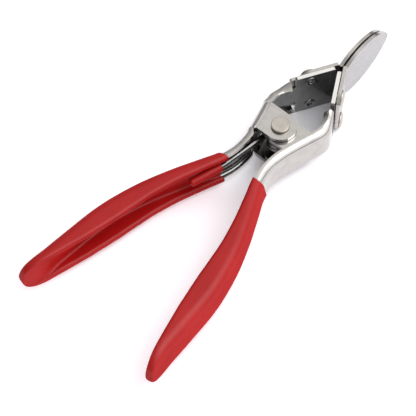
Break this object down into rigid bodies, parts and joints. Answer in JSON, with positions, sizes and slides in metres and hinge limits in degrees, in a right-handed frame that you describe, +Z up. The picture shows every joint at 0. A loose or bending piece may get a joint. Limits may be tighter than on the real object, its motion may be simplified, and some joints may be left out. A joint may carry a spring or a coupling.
{
  "type": "sprung spreading pliers",
  "caption": "Reverse-action hand pliers: squeezing two red dipped handles spreads a pair of flat riveted tongue blades, which a torsion spring at the pivot closes again.",
  "frame": {"origin": "centre of the pivot rivet's lower flat face", "axes": "+Y forward to the blade tips, +X to the right, +Z up along the pivot rivet"},
  "size_m": [0.079, 0.2112, 0.0254],
  "materials": {
    "plated_steel": "bright nickel plate on pressed sheet steel",
    "blade_steel": "satin plated, brushed across",
    "rivet_steel": "satin, slightly warm",
    "spring_steel": "bright drawn wire",
    "red_coating": "glossy dipped vinyl"
  },
  "bodies": {
    "right_side": {"right_lever": "plated_steel", "right_blade": "blade_steel", "right_blade_rivet_upper": "rivet_steel", "right_blade_rivet_lower": "rivet_steel", "right_grip": "red_coating", "pivot_rivet": "rivet_steel", "torsion_spring": "spring_steel"},
    "left_side": {"left_lever": "plated_steel", "left_blade": "blade_steel", "left_blade_rivet_upper": "rivet_steel", "left_blade_rivet_lower": "rivet_steel", "left_grip": "red_coating"}
  },
  "joints": [
    {"name": "handle_pivot", "type": "hinge", "parent": "right_side", "child": "left_side", "pos_m": [0, 0, 0.0127], "axis": [0, 0, 1], "range_deg": [0, 26], "stiffness_Nm_per_rad": 2, "springref_deg": -22.92, "deforming": ["torsion_spring"]}
  ]
}
